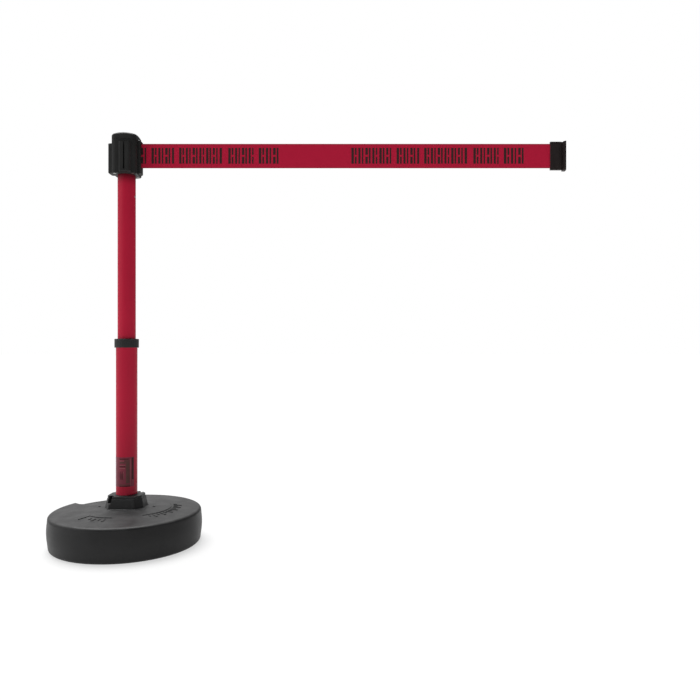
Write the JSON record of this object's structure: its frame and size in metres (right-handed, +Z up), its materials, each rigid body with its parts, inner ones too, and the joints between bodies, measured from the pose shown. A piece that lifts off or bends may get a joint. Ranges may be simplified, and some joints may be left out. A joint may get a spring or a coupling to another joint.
{
  "type": "retractable belt stanchion",
  "caption": "Retractable belt stanchion: round fillable base, telescopic post with twist lock, and a square head with a spring-wound belt and receivers.",
  "frame": {"origin": "On the floor, at the centre of the base's underside, on the post's axis.", "axes": "+Z up the post, +X the way the belt pulls out, +Y towards the back, where the hand recess is."},
  "size_m": [1.3353, 0.3834, 1.0643],
  "materials": {
    "base_plastic": "satin",
    "ballast": "matte",
    "trim_plastic": "satin",
    "seal_rubber": "matte",
    "post_paint": "satin",
    "zinc_steel": "satin",
    "spring_steel": "satin",
    "label_film": "satin",
    "nylon": "satin",
    "brass": "satin",
    "head_plastic": "satin",
    "belt_webbing": "matte",
    "clip_plastic": "satin"
  },
  "bodies": {
    "base": {"base_shell": "base_plastic", "ballast_fill": "ballast", "socket_collar": "trim_plastic"},
    "filler_seal": {"filler_gasket": "seal_rubber"},
    "filler_cap": {"filler_cap": "trim_plastic"},
    "post_lower": {"lower_tube": "post_paint", "foot_sleeve": "trim_plastic", "foot_rivets": "zinc_steel", "post_label": "label_film", "tube_ferrule": "trim_plastic", "lock_collet": "nylon"},
    "twist_collar": {"twist_collar": "trim_plastic"},
    "post_upper": {"upper_tube": "post_paint", "guide_bush": "nylon", "head_stem": "head_plastic", "head_casing": "head_plastic", "head_cap": "head_plastic", "receiver_front": "head_plastic", "receiver_left": "head_plastic", "receiver_back": "head_plastic", "receiver_screws": "zinc_steel", "floor_screws": "zinc_steel", "belt_guide": "head_plastic", "spindle": "zinc_steel", "spindle_nut": "zinc_steel", "spindle_clip": "zinc_steel", "thrust_washer": "nylon", "belt_lead": "belt_webbing", "belt_run": "belt_webbing", "button_spring": "spring_steel"},
    "lock_button": {"lock_button": "zinc_steel"},
    "spool": {"spool": "nylon", "spool_bushes": "brass", "belt_roll": "belt_webbing", "power_spring": "spring_steel", "spring_cover": "nylon"},
    "belt_end": {"clip_body": "clip_plastic", "clip_cover": "clip_plastic", "clip_screws": "zinc_steel"}
  },
  "joints": [
    {"name": "post_lift", "type": "slide", "parent": "base", "child": "post_lower", "axis": [0, 0, 1], "range_m": [0, 0.13]},
    {"name": "filler_lift", "type": "slide", "parent": "base", "child": "filler_seal", "axis": [0, 0, 1], "range_m": [0, 0.0161]},
    {"name": "filler_turn", "type": "hinge", "parent": "filler_seal", "child": "filler_cap", "pos_m": [-0.10103, 0.11622, 0.07], "axis": [0, 0, 1], "range_deg": [0, 1440]},
    {"name": "collar_twist", "type": "hinge", "parent": "post_lower", "child": "twist_collar", "pos_m": [0, 0, 0.518], "axis": [0, 0, 1], "range_deg": [0, 120]},
    {"name": "post_telescope", "type": "slide", "parent": "post_lower", "child": "post_upper", "axis": [0, 0, 1], "range_m": [-0.37, 0]},
    {"name": "button_press", "type": "slide", "parent": "post_upper", "child": "lock_button", "axis": [-1, 0, 0], "range_m": [0, 0.004], "stiffness_N_per_m": 1500, "springref_m": -0.001, "deforming": ["button_spring"]},
    {"name": "belt_pull", "type": "slide", "parent": "post_upper", "child": "belt_end", "axis": [1, 0, 0], "range_m": [-1.0638, 0], "stiffness_N_per_m": 3, "springref_m": -3, "deforming": ["belt_run"]},
    {"name": "spool_spin", "type": "hinge", "parent": "post_upper", "child": "spool", "pos_m": [0, 0, 1.0079], "axis": [0, 0, 1], "range_deg": [-1, 2510], "deforming": ["power_spring"]}
  ],
  "couplings": [
    {"joint": "filler_lift", "follows": "filler_turn", "m_per_rad": 0.00063662},
    {"joint": "spool_spin", "follows": "belt_pull", "rad_per_m": -41.068}
  ]
}
